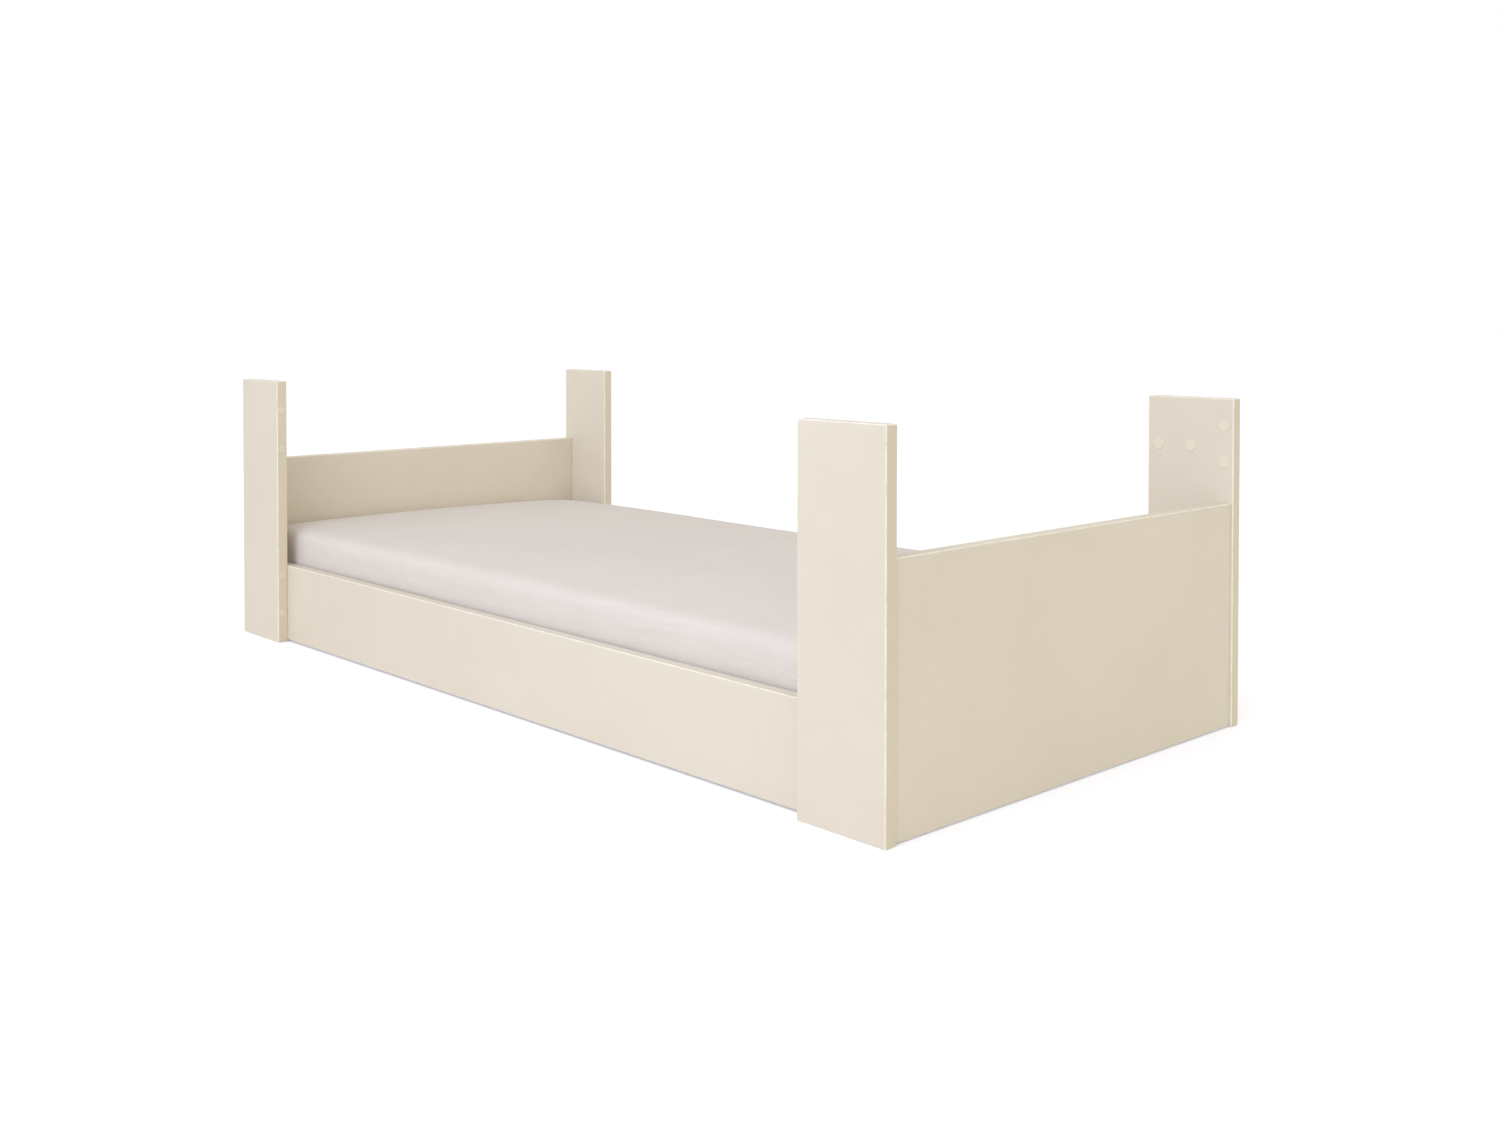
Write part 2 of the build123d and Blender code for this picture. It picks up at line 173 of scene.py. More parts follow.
class StudioSet(bpy.types.PropertyGroup):
    eye: FloatVectorProperty(
        name="Eye", description="Where the camera stands", subtype="TRANSLATION",
        default=(2.4874, -2.1683, 0.7776),
    )
    heading: FloatProperty(
        name="Heading", description="Turn of the camera from straight along the bed's width",
        subtype="ANGLE", default=math.radians(47.72),
    )
    pitch: FloatProperty(
        name="Pitch", description="How far the camera looks down", subtype="ANGLE",
        default=math.radians(1.306),
    )
    lens: FloatProperty(name="Lens", description="Focal length in millimetres", default=36.70)
    floor_colour: FloatVectorProperty(
        name="Floor", description="Paint of the studio floor", subtype="COLOR", default=(0.90, 0.895, 0.885)
    )
    floor_glow: FloatVectorProperty(
        name="Floor glow", description="Light added to the floor where the camera sees it",
        subtype="COLOR", default=(0.25, 0.27, 0.32),
    )
    key_power: FloatProperty(
        name="Key", description="Power of the soft light in front", unit="POWER", default=5.45
    )
    broad: FloatProperty(
        name="Broad", description="Strength of the broad light from the front right", default=0.896
    )
    ambient: FloatProperty(
        name="Ambient", description="Strength of the light from all round", default=0.807
    )


# Shader helpers


def fill_inputs(tree, node, inputs):
    """Give each input named in inputs its value or its link."""
    for key, value in inputs.items():
        if isinstance(value, bpy.types.NodeSocket):
            tree.links.new(value, node.inputs[key])
        else:
            node.inputs[key].default_value = value


def add_node(tree, kind, inputs=None, **settings):
    """Add a shader node, set its options and fill its inputs."""
    node = tree.nodes.new("ShaderNode" + kind)
    for name, value in settings.items():
        setattr(node, name, value)
    fill_inputs(tree, node, inputs or {})
    return node


def maths(tree, operation, *values):
    """The result of a Math node on up to three values or sockets."""
    return add_node(tree, "Math", dict(enumerate(values)), operation=operation).outputs[0]


def vector_maths(tree, operation, *values):
    """The vector that a Vector Math node gives."""
    return add_node(tree, "VectorMath", dict(enumerate(values)), operation=operation).outputs["Vector"]


def remap(tree, value, low, high, new_low=0.0, new_high=1.0):
    """Value taken smoothly from one range to another and kept inside it."""
    inputs = {"Value": value, "From Min": low, "From Max": high, "To Min": new_low, "To Max": new_high}
    return add_node(tree, "MapRange", inputs, interpolation_type="SMOOTHSTEP").outputs["Result"]


def noise_at(tree, vector, scale, detail=2.0, roughness=0.5):
    """A noise value between 0 and 1."""
    inputs = {"Vector": vector, "Scale": scale, "Detail": detail, "Roughness": roughness}
    return add_node(tree, "TexNoise", inputs).outputs["Fac"]


def mix_colour(tree, factor, first, second, blend="MIX"):
    """Two colours mixed by a factor."""
    node = add_node(tree, "Mix", {0: factor, 6: first, 7: second}, data_type="RGBA", blend_type=blend)
    return node.outputs[2]


def new_group(name, inputs, outputs):
    """An empty shader group with its named sockets; returns the tree, its inputs and its output node."""
    tree = bpy.data.node_groups.new(name, "ShaderNodeTree")
    for label, kind in inputs:
        tree.interface.new_socket(label, in_out="INPUT", socket_type="NodeSocket" + kind)
    for label, kind in outputs:
        tree.interface.new_socket(label, in_out="OUTPUT", socket_type="NodeSocket" + kind)
    entry = tree.nodes.new("NodeGroupInput")
    return tree, entry.outputs, tree.nodes.new("NodeGroupOutput")


def use_group(tree, group, inputs):
    """Place a shader group in a tree with its own values, and return its outputs."""
    node = tree.nodes.new("ShaderNodeGroup")
    node.node_tree = group
    fill_inputs(tree, node, inputs)
    return node.outputs


def new_material(name):
    """A node material with only a Principled shader and an output; returns it, its tree and the shader."""
    material = bpy.data.materials.new(name)
    material.use_nodes = True
    tree = material.node_tree
    shader = tree.nodes["Principled BSDF"]
    return material, tree, shader


def object_place(tree):
    """The Object coordinates, in metres."""
    return add_node(tree, "TexCoord").outputs["Object"]


def connect_height(tree, shader, height, distance, strength=1.0):
    """Give a shader a bump from a height that runs from 0 to 1."""
    bump = add_node(tree, "Bump", {"Height": height, "Distance": distance, "Strength": strength})
    tree.links.new(bump.outputs["Normal"], shader.inputs["Normal"])


def rgba(colour, gain=1.0):
    """A colour made lighter or darker by gain, with full alpha."""
    return (colour[0] * gain, colour[1] * gain, colour[2] * gain, 1.0)


def paint(names, material):
    """Give CAD nodes one material in every slot."""
    for name in names:
        data = NODES[name].data
        data.materials.clear()
        data.materials.append(material)


# Shared effects


def arris_group():
    """How near a point on a board is to an arris, and whether it lies on an upright thin edge."""
    if "Board arris" in bpy.data.node_groups:
        return bpy.data.node_groups["Board arris"]
    inputs = [
        ("Place", "Vector"), ("Centre", "Vector"), ("Half size", "Vector"),
        ("Broad axis", "Vector"), ("Width", "Float"),
    ]
    tree, given, result = new_group("Board arris", inputs, [("Arris", "Float"), ("Thin edge", "Float")])
    off_centre = vector_maths(tree, "SUBTRACT", given["Place"], given["Centre"])
    inside = vector_maths(tree, "SUBTRACT", vector_maths(tree, "ABSOLUTE", off_centre), given["Half size"])
    parts = add_node(tree, "SeparateXYZ", {"Vector": inside}).outputs
    low = maths(tree, "MINIMUM", parts[0], parts[1])
    high = maths(tree, "MAXIMUM", parts[0], parts[1])
    second = maths(tree, "MAXIMUM", low, maths(tree, "MINIMUM", high, parts[2]))
    near = maths(tree, "DIVIDE", maths(tree, "ADD", second, given["Width"]), given["Width"])
    tree.links.new(remap(tree, near, 0.0, 1.0), result.inputs["Arris"])
    normal = add_node(tree, "NewGeometry").outputs["Normal"]
    facing = add_node(tree, "VectorMath", {0: normal, 1: given["Broad axis"]}, operation="DOT_PRODUCT")
    broad = maths(tree, "ABSOLUTE", facing.outputs["Value"])
    level = maths(tree, "ABSOLUTE", add_node(tree, "SeparateXYZ", {"Vector": normal}).outputs[2])
    flat = maths(tree, "MAXIMUM", broad, level)
    tree.links.new(remap(tree, flat, 0.45, 0.9, 1.0, 0.0), result.inputs["Thin edge"])
    return tree


def spray_group():
    """Sprayed lacquer: slow drifts of tone, and the fine orange peel of its skin."""
    if "Sprayed lacquer" in bpy.data.node_groups:
        return bpy.data.node_groups["Sprayed lacquer"]
    inputs = [("Place", "Vector"), ("Peel scale", "Float")]
    tree, given, result = new_group("Sprayed lacquer", inputs, [("Tone", "Float"), ("Peel", "Float")])
    drift = noise_at(tree, given["Place"], 2.2, 3.0)
    cloud = noise_at(tree, given["Place"], 14.0, 4.0, 0.6)
    tone = maths(tree, "ADD", maths(tree, "MULTIPLY", drift, 0.65), maths(tree, "MULTIPLY", cloud, 0.35))
    tree.links.new(remap(tree, tone, 0.30, 0.70), result.inputs["Tone"])
    peel = noise_at(tree, given["Place"], given["Peel scale"], 2.0, 0.4)
    tree.links.new(remap(tree, peel, 0.25, 0.75), result.inputs["Peel"])
    return tree


def grain_group():
    """Growth rings cut along the board, fine fibres and a few long pores."""
    if "Wood grain" in bpy.data.node_groups:
        return bpy.data.node_groups["Wood grain"]
    inputs = [("Place", "Vector"), ("Ring gap", "Float"), ("Stretch", "Vector"), ("Shift", "Float")]
    tree, given, result = new_group("Wood grain", inputs, [("Rings", "Float"), ("Fibre", "Float")])
    shifted = add_node(tree, "CombineXYZ", {0: given["Shift"], 1: given["Shift"], 2: given["Shift"]})
    place = vector_maths(tree, "ADD", given["Place"], shifted.outputs[0])
    long_place = vector_maths(tree, "MULTIPLY", place, given["Stretch"])
    bend = noise_at(tree, long_place, 9.0, 2.0)
    parts = add_node(tree, "SeparateXYZ", {"Vector": long_place}).outputs
    level = maths(tree, "ADD", parts[0], parts[1])
    across = maths(tree, "ADD", level, maths(tree, "MULTIPLY", parts[2], 1.3))
    bent = maths(tree, "ADD", across, maths(tree, "MULTIPLY", bend, 0.035))
    turns = maths(tree, "FRACT", maths(tree, "DIVIDE", bent, given["Ring gap"]))
    tree.links.new(maths(tree, "POWER", turns, 2.2), result.inputs["Rings"])
    tree.links.new(noise_at(tree, long_place, 900.0, 3.0, 0.65), result.inputs["Fibre"])
    return tree


def weave_group():
    """Plain weave on all three pairs of axes, blended by the way the surface faces, with slubs."""
    if "Plain weave" in bpy.data.node_groups:
        return bpy.data.node_groups["Plain weave"]
    inputs = [("Place", "Vector"), ("Thread", "Float")]
    tree, given, result = new_group("Plain weave", inputs, [("Height", "Float"), ("Slub", "Float")])
    counted = add_node(tree, "VectorMath", {0: given["Place"]}, operation="SCALE")
    tree.links.new(maths(tree, "DIVIDE", math.pi, given["Thread"]), counted.inputs["Scale"])
    parts = add_node(tree, "SeparateXYZ", {"Vector": counted.outputs["Vector"]}).outputs
    waves = [maths(tree, "SINE", part) for part in parts]
    normal = add_node(tree, "NewGeometry").outputs["Normal"]
    facing = add_node(tree, "SeparateXYZ", {"Vector": vector_maths(tree, "ABSOLUTE", normal)}).outputs
    height = 0.5
    for axis in range(3):
        crossing = maths(tree, "MULTIPLY", waves[(axis + 1) % 3], waves[(axis + 2) % 3])
        share = maths(tree, "MULTIPLY", maths(tree, "POWER", facing[axis], 3.0), 0.5)
        height = maths(tree, "ADD", height, maths(tree, "MULTIPLY", crossing, share))
    tree.links.new(height, result.inputs["Height"])
    streak = vector_maths(tree, "MULTIPLY", given["Place"], (14.0, 420.0, 90.0))
    tree.links.new(noise_at(tree, streak, 1.0, 3.0, 0.6), result.inputs["Slub"])
    return tree


def crease_group():
    """Slack in a stretched sheet: slanting ridges gathered at its ends, and a few faint long ones."""
    if "Creases" in bpy.data.node_groups:
        return bpy.data.node_groups["Creases"]
    inputs = [("Place", "Vector"), ("Half length", "Float")]
    tree, given, result = new_group("Creases", inputs, [("Height", "Float")])
    parts = add_node(tree, "SeparateXYZ", {"Vector": given["Place"]}).outputs
    slanting = maths(tree, "ADD", parts[0], maths(tree, "MULTIPLY", parts[2], 1.4))
    turned = add_node(tree, "CombineXYZ", {"X": slanting, "Y": parts[1], "Z": parts[2]}).outputs["Vector"]
    short = noise_at(tree, vector_maths(tree, "MULTIPLY", turned, (34.0, 9.0, 5.0)), 1.0, 2.0, 0.5)
    ridge = remap(tree, maths(tree, "ABSOLUTE", maths(tree, "SUBTRACT", short, 0.5)), 0.0, 0.09, 1.0, 0.0)
    reach = maths(tree, "DIVIDE", maths(tree, "ABSOLUTE", parts[0]), given["Half length"])
    gathered = maths(tree, "MULTIPLY", ridge, remap(tree, reach, 0.55, 1.0, 0.15, 1.0))
    long = noise_at(tree, vector_maths(tree, "MULTIPLY", given["Place"], (7.0, 2.2, 9.0)), 1.0, 2.0, 0.5)
    fold = remap(tree, maths(tree, "ABSOLUTE", maths(tree, "SUBTRACT", long, 0.5)), 0.0, 0.03, 0.4, 0.0)
    tree.links.new(maths(tree, "ADD", gathered, fold), result.inputs["Height"])
    return tree


# Materials


def board_material(name, broad_axis, face_colour, finish):
    """Satin lacquer for one board, its arrises and thin edges placed by the board's own box, with a painted
    highlight of lighter lacquer along the arrises.
    """
    low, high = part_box(name)
    material, tree, shader = new_material("lacquer_" + name)
    place = object_place(tree)
    arris = use_group(tree, arris_group(), {
        "Place": place, "Centre": (low + high) / 2, "Half size": (high - low) / 2,
        "Broad axis": broad_axis, "Width": finish.arris_width,
    })
    spray = use_group(tree, spray_group(), {"Place": place, "Peel scale": 380.0})
    colour = mix_colour(tree, arris["Thin edge"], rgba(face_colour), rgba(finish.edge_colour))
    shaded = mix_colour(tree, 1.0, colour, rgba((0.955, 0.95, 0.935)), "MULTIPLY")
    toned = mix_colour(tree, spray["Tone"], shaded, colour)
    # Painted highlight: a broken band of lighter lacquer along each arris stands in for light caught on the
    # rounded edge. The same band also roughens the lacquer there.
    arris_highlight_band = maths(tree, "MULTIPLY", arris["Arris"], noise_at(tree, place, 46.0, 4.0, 0.7))
    painted_arris_highlight = mix_colour(tree, remap(tree, arris_highlight_band, 0.1, 0.5, 0.0, 0.9), toned, rgba((0.95, 0.90, 0.80)))
    tree.links.new(painted_arris_highlight, shader.inputs["Base Color"])
    scuffs = noise_at(tree, place, 7.0, 5.0, 0.7)
    satin = remap(tree, scuffs, 0.3, 0.75, 0.34, 0.46)
    roughness = maths(tree, "ADD", satin, maths(tree, "MULTIPLY", arris_highlight_band, 0.12))
    tree.links.new(roughness, shader.inputs["Roughness"])
    shader.inputs["Specular IOR Level"].default_value = 0.45
    shader.inputs["Coat Weight"].default_value = 0.12
    shader.inputs["Coat Roughness"].default_value = 0.22
    connect_height(tree, shader, spray["Peel"], 0.00006, 0.6)
    return material


def cap_material(name, cap_colour):
    """Moulded cream plastic with a faintly grained skin."""
    material, tree, shader = new_material(name)
    place = object_place(tree)
    spray = use_group(tree, spray_group(), {"Place": place, "Peel scale": 1500.0})
    colour = mix_colour(tree, spray["Tone"], rgba(cap_colour, 0.97), rgba(cap_colour, 1.02))
    tree.links.new(colour, shader.inputs["Base Color"])
    tree.links.new(remap(tree, spray["Peel"], 0.0, 1.0, 0.42, 0.52), shader.inputs["Roughness"])
    connect_height(tree, shader, spray["Peel"], 0.00005, 0.7)
    return material


def pine_material(name, finish, stretch, shift):
    """Planed pine with its rings along the piece."""
    material, tree, shader = new_material(name)
    place = object_place(tree)
    inputs = {"Place": place, "Ring gap": finish.ring_gap, "Stretch": stretch, "Shift": shift}
    grain = use_group(tree, grain_group(), inputs)
    pale, dark = rgba(finish.pale_colour), rgba(finish.dark_colour)
    rings = mix_colour(tree, maths(tree, "MULTIPLY", grain["Rings"], 0.75), pale, dark)
    fibre = mix_colour(tree, maths(tree, "MULTIPLY", grain["Fibre"], 0.25), rings, dark)
    tree.links.new(fibre, shader.inputs["Base Color"])
    tree.links.new(remap(tree, grain["Fibre"], 0.2, 0.8, 0.58, 0.74), shader.inputs["Roughness"])
    relief = maths(tree, "ADD", maths(tree, "MULTIPLY", grain["Rings"], 0.4), grain["Fibre"])
    connect_height(tree, shader, relief, 0.0002, 0.5)
    return material


def cloth_material(name, colour, thread, relief, sheen, creases=0.0):
    """Woven cloth: threads in relief, slubs, a soft sheen, painted shade in the weave's valleys, and
    creases as a multiple of the relief.
    """
    material, tree, shader = new_material(name)
    place = object_place(tree)
    weave = use_group(tree, weave_group(), {"Place": place, "Thread": thread})
    soft = noise_at(tree, place, 5.0, 3.0)
    slubs = maths(tree, "MULTIPLY", weave["Slub"], 0.6)
    shade = maths(tree, "ADD", slubs, maths(tree, "MULTIPLY", soft, 0.4))
    toned = mix_colour(tree, remap(tree, shade, 0.3, 0.7), rgba(colour, 0.955), rgba(colour, 1.02))
    # Painted shade: the colour darkens in the valleys between the threads.
    valley_shade = remap(tree, weave["Height"], 0.1, 0.6, 0.35, 0.0)
    threads_with_valley_shade = mix_colour(tree, valley_shade, toned, rgba(colour, 0.82))
    tree.links.new(threads_with_valley_shade, shader.inputs["Base Color"])
    tree.links.new(remap(tree, weave["Slub"], 0.2, 0.8, 0.78, 0.90), shader.inputs["Roughness"])
    shader.inputs["Specular IOR Level"].default_value = 0.25
    shader.inputs["Sheen Weight"].default_value = sheen
    shader.inputs["Sheen Roughness"].default_value = 0.45
    height = weave["Height"]
    if creases:
        slack = use_group(tree, crease_group(), {"Place": place, "Half length": SHEET_HIGH.x})
        height = maths(tree, "ADD", height, maths(tree, "MULTIPLY", slack["Height"], creases))
    connect_height(tree, shader, height, relief, 0.6)
    return material


def metal_material(name, colour, rough_low, rough_high, spangle):
    """Plated or cast metal with its spangle and fine handling marks."""
    material, tree, shader = new_material(name)
    place = object_place(tree)
    cells = add_node(tree, "TexVoronoi", {"Vector": place, "Scale": spangle}).outputs["Color"]
    tone = add_node(tree, "SeparateColor", {"Color": cells}).outputs[0]
    tree.links.new(mix_colour(tree, tone, rgba(colour, 0.86), rgba(colour)), shader.inputs["Base Color"])
    marks = noise_at(tree, place, 260.0, 4.0, 0.7)
    tree.links.new(remap(tree, marks, 0.3, 0.7, rough_low, rough_high), shader.inputs["Roughness"])
    shader.inputs["Metallic"].default_value = 1.0
    connect_height(tree, shader, marks, 0.00004, 0.5)
    return material


# Mattress and sheet


def soft_box(low, high, corner_radius, edge_radius):
    """A bmesh box with rounded upright corners and rounded rims."""
    bm = bmesh.new()
    size = high - low
    fitted = Matrix.Translation((low + high) / 2) @ Matrix.Diagonal((*size, 1))
    bmesh.ops.create_cube(bm, size=1.0, matrix=fitted)
    upright = [e for e in bm.edges if abs((e.verts[0].co - e.verts[1].co).z) > size.z / 2]
    bmesh.ops.bevel(
        bm, geom=upright, offset=corner_radius, offset_type="OFFSET", segments=8, profile=0.5,
        affect="EDGES", material=-1,
    )
    rims = [
        e for e in bm.edges
        if abs(e.verts[0].co.z - e.verts[1].co.z) < 1e-6
        and all(abs(v.co.z - low.z) < 1e-6 or abs(v.co.z - high.z) < 1e-6 for v in e.verts)
    ]
    bmesh.ops.bevel(
        bm, geom=rims, offset=edge_radius, offset_type="OFFSET", segments=5, profile=0.5,
        affect="EDGES", material=-1,
    )
    return bm


def make_object(name, bm):
    """Finish a bmesh as an object at the origin."""
    data = bpy.data.meshes.new(name)
    bm.to_mesh(data)
    bm.free()
    obj = bpy.data.objects.new(name, data)
    bpy.context.scene.collection.objects.link(obj)
    for polygon in data.polygons:
        polygon.use_smooth = True
    return obj


def apply_modifiers(obj):
    """Replace an object's mesh with its evaluated one and drop its modifiers."""
    depsgraph = bpy.context.evaluated_depsgraph_get()
    done = bpy.data.meshes.new_from_object(obj.evaluated_get(depsgraph), depsgraph=depsgraph)
    obj.modifiers.clear()
    old = obj.data
    obj.data = done
    bpy.data.meshes.remove(old)


def remesh_evenly(obj, spacing):
    """Give a closed shape an even grid of points."""
    modifier = obj.modifiers.new("even grid", "REMESH")
    modifier.mode = "VOXEL"
    modifier.voxel_size = spacing
    modifier.use_smooth_shade = True
    apply_modifiers(obj)


def swell_foam(obj, most):
    """Let the cover swell under the foam's pressure as cloth, no point going further than most."""
    start = [v.co.copy() for v in obj.data.vertices]
    cloth = obj.modifiers.new("foam pressure", "CLOTH").settings
    cloth.quality = 4
    cloth.mass = 0.3
    cloth.tension_stiffness = 18
    cloth.compression_stiffness = 18
    cloth.shear_stiffness = 8
    cloth.bending_stiffness = 4
    cloth.use_pressure = True
    cloth.uniform_pressure_force = 4
    cloth.effector_weights.gravity = 0
    scene = bpy.context.scene
    for number in range(1, FOAM_FRAMES + 1):
        scene.frame_set(number)
    apply_modifiers(obj)
    scene.frame_set(1)
    for vertex, rest in zip(obj.data.vertices, start):
        step = vertex.co - rest
        if step.length > most:
            vertex.co = rest + step.normalized() * most


def add_subdivision(obj):
    """One smooth subdivision, applied."""
    modifier = obj.modifiers.new("smooth", "SUBSURF")
    modifier.levels = 1
    modifier.render_levels = 1
    apply_modifiers(obj)


def fit_to_box(obj, low, high):
    """Scale and shift an object's points so that they just fill a box."""
    places = [v.co.copy() for v in obj.data.vertices]
    for axis in range(3):
        least = min(p[axis] for p in places)
        most = max(p[axis] for p in places)
        scale = (high[axis] - low[axis]) / (most - least)
        for vertex, place in zip(obj.data.vertices, places):
            vertex.co[axis] = low[axis] + (place[axis] - least) * scale


def crown_height(place, crown):
    """How far the top stands up: most along its middle, less at its ends, least at the rear head corner."""
    along = place.x / SHEET_HIGH.x
    across = place.y / SHEET_HIGH.y
    middle = 1.0 - across * across
    end = max(0.0, (abs(along) - END_FALL_START) / (1.0 - END_FALL_START)) ** 2
    slump = max(0.0, -along) ** 8 * (0.55 * across + 0.75 * max(0.0, across) ** 4)
    return crown * (middle - 0.5 * end - slump)


def build_foam(shape, inset):
    """The swollen, crowned outside of the mattress, drawn in by inset from the made-up mattress's box."""
    reach = Vector((inset, inset, inset))
    low = SHEET_LOW + reach
    high = SHEET_HIGH + Vector((0, 0, shape.crown)) - reach
    obj = make_object("foam_shape", soft_box(low, high, shape.corner_radius, shape.edge_radius))
    remesh_evenly(obj, shape.grid)
    swell_foam(obj, shape.swell)
    fit_to_box(obj, low, high)
    for vertex in obj.data.vertices:
        share = min(1.0, max(0.0, (vertex.co.z - 0.5 * (low.z + high.z)) / CROWN_FADE))
        vertex.co.z += share * crown_height(vertex.co, shape.crown)
    return obj


class BED_OT_mattress(bpy.types.Operator):
    """Make the foam mattress in its ticking cover"""

    bl_idname = "bed.mattress"
    bl_label = "Mattress"

    def execute(self, context):
        shape = context.scene.bed_bedding
        obj = build_foam(shape, TICKING_INSET)
        obj.name = "mattress_ticking"
        obj.data.name = obj.name
        for vertex in obj.data.vertices:
            vertex.co.z = max(vertex.co.z, SLAT_TOP + TICKING_REST)
        obj.data.materials.append(
            cloth_material("ticking_knit", shape.ticking_colour, 3 * shape.thread, 0.0003, 0.15)
        )
        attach(obj, "mattress")
        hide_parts("mattress_core")
        return {"FINISHED"}


def sheet_ripple(place):
    """How far the sheet stands off the foam: slow waves everywhere, and pulls towards its two ends."""
    broad = noise.noise(Vector((place.x * 3.1, place.y * 4.3, 7.0)))
    drawn = noise.noise(Vector((place.x * 16.0, place.y * 7.0, place.z * 5.0)))
    ends = min(1.0, max(0.0, (abs(place.x) - 0.62) / 0.36))
    side = min(1.0, max(0.0, (SHEET_HIGH.z - 0.02 - place.z) / 0.03))
    pulls = math.sin(place.x * 61.0 + 3.0 * drawn + place.z * 18.0)
    stands = 0.0009 * broad + 0.0005 * drawn + 0.0006 * ends * (0.35 + 0.65 * side) * pulls
    return max(-0.0006, stands)


def inside_opening(place, shape, margin):
    """Whether a point lies over the opening in the sheet's underside, widened by margin."""
    along = abs(place.x) < SHEET_HIGH.x - shape.tuck + margin
    return along and abs(place.y) < SHEET_HIGH.y - shape.tuck + margin


class BED_OT_sheet(bpy.types.Operator):
    """Stretch the fitted sheet over the mattress"""

    bl_idname = "bed.sheet"
    bl_label = "Fitted sheet"

    def execute(self, context):
        shape = context.scene.bed_bedding
        obj = build_foam(shape, SHEET_INSET)
        obj.name = "fitted_sheet_cloth"
        obj.data.name = obj.name
        add_subdivision(obj)
        bm = bmesh.new()
        bm.from_mesh(obj.data)
        under = [
            f for f in bm.faces if f.normal.z < -0.9 and inside_opening(f.calc_center_median(), shape, 0.0)
        ]
        bmesh.ops.delete(bm, geom=under, context="FACES")
        bm.normal_update()
        limit = SHEET_HIGH.y + SHEET_SLACK
        for vertex in bm.verts:
            place = vertex.co
            place += vertex.normal * sheet_ripple(place)
            place.y = min(max(place.y, -limit), limit)
            place.z = max(place.z, SLAT_TOP + SHEET_REST)
            if place.z < SLAT_TOP + 0.004 and inside_opening(place, shape, GATHER_BAND):
                place.z += GATHER_DEPTH * (1 + math.sin(GATHER_RATE * (place.x + place.y)))
        bm.to_mesh(obj.data)
        bm.free()
        shell = obj.modifiers.new("cloth thickness", "SOLIDIFY")
        shell.thickness = SHEET_THICKNESS
        shell.offset = -1.0
        obj.data.materials.append(
            cloth_material("sheet_cotton_weave", shape.sheet_colour, shape.thread, 0.00012, 0.08, 6.0)
        )
        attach(obj, "mattress")
        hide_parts("fitted_sheet")
        return {"FINISHED"}


# Boards and fittings


class BED_OT_boards(bpy.types.Operator):
    """Lacquer the posts, end panels and side rails"""

    bl_idname = "bed.boards"
    bl_label = "Boards"

    def execute(self, context):
        finish = context.scene.bed_boards
        for name in POSTS + RAILS:
            paint([name], board_material(name, ACROSS, finish.face_colour, finish))
        # The end panels take the warmer copy of the lacquer, which is painted warm light.
        for name in PANELS:
            paint([name], board_material(name, ALONG, finish.panel_warm_light_colour, finish))
        return {"FINISHED"}


class BED_OT_caps(bpy.types.Operator):
    """Mould the cover caps and edge caps in cream plastic"""

    bl_idname = "bed.caps"
    bl_label = "Caps"

    def execute(self, context):
        finish = context.scene.bed_boards
        paint(COVER_CAPS, cap_material("cream_cap_plastic", finish.cap_colour))
        paint(EDGE_CAPS, cap_material("cream_edge_cap_plastic", finish.edge_cap_colour))
        return {"FINISHED"}


class BED_OT_slats(bpy.types.Operator):
    """Plane the slats, ledgers and dowels from pine and beech"""

    bl_idname = "bed.slats"
    bl_label = "Slats and ledgers"

    def execute(self, context):
        finish = context.scene.bed_pine
        for number, name in enumerate(SLATS):
            paint([name], pine_material("pine_" + name, finish, (1.0, 0.05, 1.0), 0.37 * number))
        for number, name in enumerate(LEDGERS):
            paint([name], pine_material("pine_" + name, finish, (0.05, 1.0, 1.0), 0.61 * number))
        paint(DOWELS, pine_material("beech_dowel", finish, (1.0, 0.05, 1.0), 2.3))
        return {"FINISHED"}


class BED_OT_straps(bpy.types.Operator):
    """Weave the straps under the slats"""

    bl_idname = "bed.straps"
    bl_label = "Straps"

    def execute(self, context):
        colour = context.scene.bed_bedding.webbing_colour
        paint(STRAPS, cloth_material("webbing_weave", colour, 0.0012, 0.0004, 0.1))
        return {"FINISHED"}


class BED_OT_fixings(bpy.types.Operator):
    """Plate the screws, bolts, inserts and staples, and cast the cam locks"""

    bl_idname = "bed.fixings"
    bl_label = "Fixings"

    def execute(self, context):
        paint(PLATED, metal_material("zinc_plate", (0.66, 0.67, 0.66), 0.24, 0.40, 900.0))
        paint(CASTINGS, metal_material("zinc_casting", (0.50, 0.50, 0.49), 0.40, 0.60, 500.0))
        return {"FINISHED"}


# Studio


def look_along(place, heading, pitch):
    """The matrix of a camera that stands at place and looks along its heading, pitched down."""
    level = math.cos(pitch)
    forward = Vector((-math.sin(heading) * level, math.cos(heading) * level, -math.sin(pitch)))
    right = Vector((math.cos(heading), math.sin(heading), 0.0))
    above = right.cross(forward)
    turn = Matrix((right, above, -forward)).transposed()
    return Matrix.Translation(place) @ turn.to_4x4()


def add_softbox(name, place, target, size, power, colour):
    """A rectangular soft light that faces a point."""
    data = bpy.data.lights.new(name, "AREA")
    data.shape = "RECTANGLE"
    data.size, data.size_y = size
    data.energy = power
    data.color = colour
    lamp = bpy.data.objects.new(name, data)
    aim = (Vector(target) - Vector(place)).to_track_quat("-Z", "Y")
    lamp.matrix_world = Matrix.Translation(place) @ aim.to_matrix().to_4x4()
    bpy.context.scene.collection.objects.link(lamp)


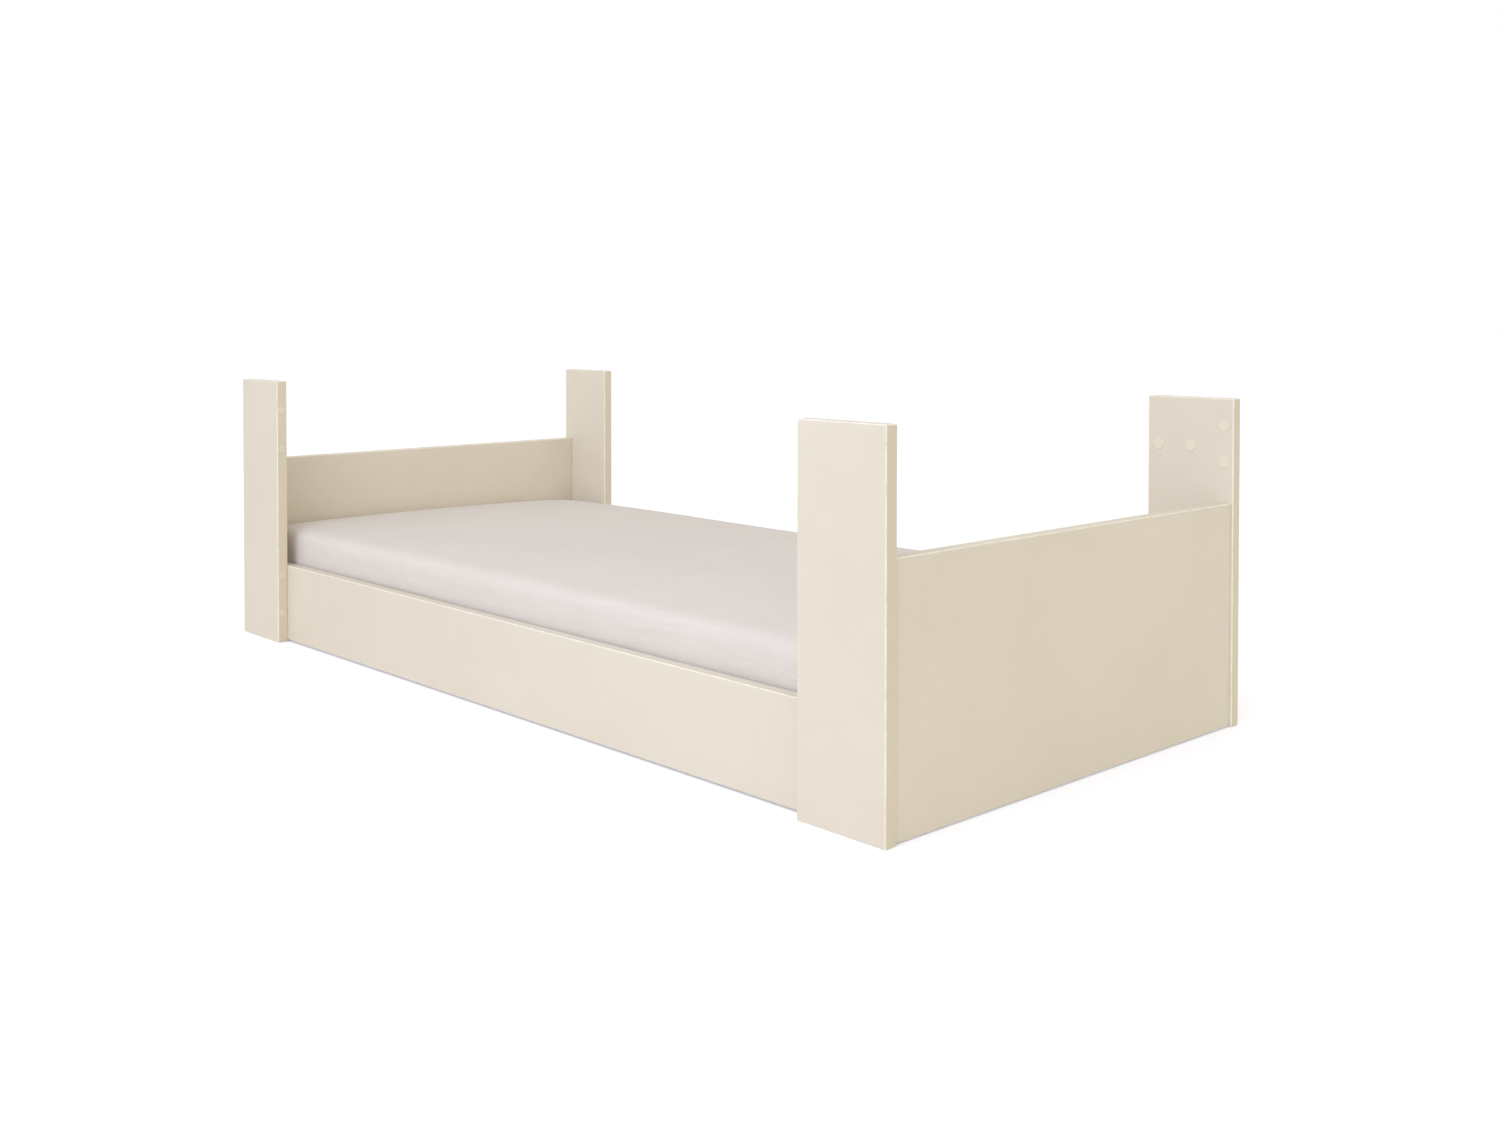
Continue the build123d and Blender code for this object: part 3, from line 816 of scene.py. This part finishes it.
def set_world(strength):
    """Soft light from all round, warmer than the white that the camera sees behind the bed."""
    world = bpy.data.worlds.new("studio")
    world.use_nodes = True
    bpy.context.scene.world = world
    tree = world.node_tree
    tree.nodes.clear()
    seen = add_node(tree, "LightPath").outputs["Is Camera Ray"]
    colour = mix_colour(tree, seen, (1.0, 0.970, 0.900, 1.0), (1.0, 1.0, 1.0, 1.0))
    level = maths(tree, "ADD", maths(tree, "MULTIPLY", seen, 1.0 - strength), strength)
    back = add_node(tree, "Background", {"Color": colour, "Strength": level})
    out = add_node(tree, "OutputWorld", {"Surface": back.outputs[0]})
    out.is_active_output = True


def add_sky_light(towards, strength, spread, colour):
    """A broad even light from one direction, the same everywhere on the floor."""
    data = bpy.data.lights.new("broad", "SUN")
    data.energy = strength
    data.angle = spread
    data.color = colour
    lamp = bpy.data.objects.new("broad", data)
    lamp.matrix_world = Vector(towards).to_track_quat("Z", "Y").to_matrix().to_4x4()
    bpy.context.scene.collection.objects.link(lamp)


class BED_OT_studio(bpy.types.Operator):
    """Set the floor, the soft lights and the camera"""

    bl_idname = "bed.studio"
    bl_label = "Studio"

    def execute(self, context):
        studio = context.scene.bed_studio
        bm = bmesh.new()
        bmesh.ops.create_grid(bm, x_segments=1, y_segments=1, size=FLOOR_HALF_SIZE)
        floor = make_object("studio_floor", bm)
        material, tree, shader = new_material("floor_paint")
        tone = noise_at(tree, object_place(tree), 1.5, 3.0)
        paint_colour = studio.floor_colour
        colour = mix_colour(tree, tone, rgba(paint_colour, 0.99), rgba(paint_colour, 1.01))
        tree.links.new(colour, shader.inputs["Base Color"])
        seen = add_node(tree, "LightPath").outputs["Is Camera Ray"]
        glow = mix_colour(tree, seen, (0, 0, 0, 1), rgba(studio.floor_glow))
        tree.links.new(glow, shader.inputs["Emission Color"])
        shader.inputs["Emission Strength"].default_value = 1.0
        shader.inputs["Roughness"].default_value = 0.9
        shader.inputs["Specular IOR Level"].default_value = 0.1
        floor.data.materials.append(material)
        set_world(studio.ambient)
        add_sky_light((0.5, -1.0, 0.5), studio.broad, math.radians(40), (0.795, 0.836, 1.0))
        add_softbox(
            "key", (0.6, -1.2, 1.5), (0.6, -0.5, 0.4), (1.6, 0.4), studio.key_power, (0.677, 0.741, 1.0)
        )
        camera_data = bpy.data.cameras.new("camera")
        camera_data.sensor_width = 36.0
        camera_data.lens = studio.lens
        camera_data.shift_x = 0.0273
        camera_data.shift_y = -0.1428
        camera_data.clip_end = 200.0
        camera = bpy.data.objects.new("camera", camera_data)
        camera.matrix_world = look_along(Vector(studio.eye), studio.heading, studio.pitch)
        context.scene.collection.objects.link(camera)
        context.scene.camera = camera
        context.scene.view_settings.view_transform = "Standard"
        return {"FINISHED"}


class BED_PT_sidebar(bpy.types.Panel):
    """The bed's pieces and settings"""

    bl_label = "Bed"
    bl_idname = "BED_PT_sidebar"
    bl_space_type = "VIEW_3D"
    bl_region_type = "UI"
    bl_category = "Bed"

    def draw(self, context):
        layout = self.layout
        for group in SETTINGS:
            settings = getattr(context.scene, group)
            box = layout.box()
            for name in settings.__annotations__:
                box.prop(settings, name)
        for operator in OPERATORS:
            layout.operator(operator.bl_idname)


SETTINGS = {
    "bed_boards": BoardFinish, "bed_pine": PineFinish, "bed_bedding": BeddingShape, "bed_studio": StudioSet
}
OPERATORS = (
    BED_OT_studio, BED_OT_boards, BED_OT_caps, BED_OT_slats, BED_OT_straps, BED_OT_fixings, BED_OT_mattress,
    BED_OT_sheet,
)


def register():
    for cls in (*SETTINGS.values(), *OPERATORS, BED_PT_sidebar):
        bpy.utils.register_class(cls)
    for name, cls in SETTINGS.items():
        setattr(bpy.types.Scene, name, PointerProperty(type=cls))


def unregister():
    for name in SETTINGS:
        delattr(bpy.types.Scene, name)
    for cls in (BED_PT_sidebar, *reversed(OPERATORS), *reversed(SETTINGS.values())):
        bpy.utils.unregister_class(cls)


def main():
    register()
    for operator in OPERATORS:
        group, name = operator.bl_idname.split(".")
        getattr(getattr(bpy.ops, group), name)()


if __name__ == "__main__":
    main()
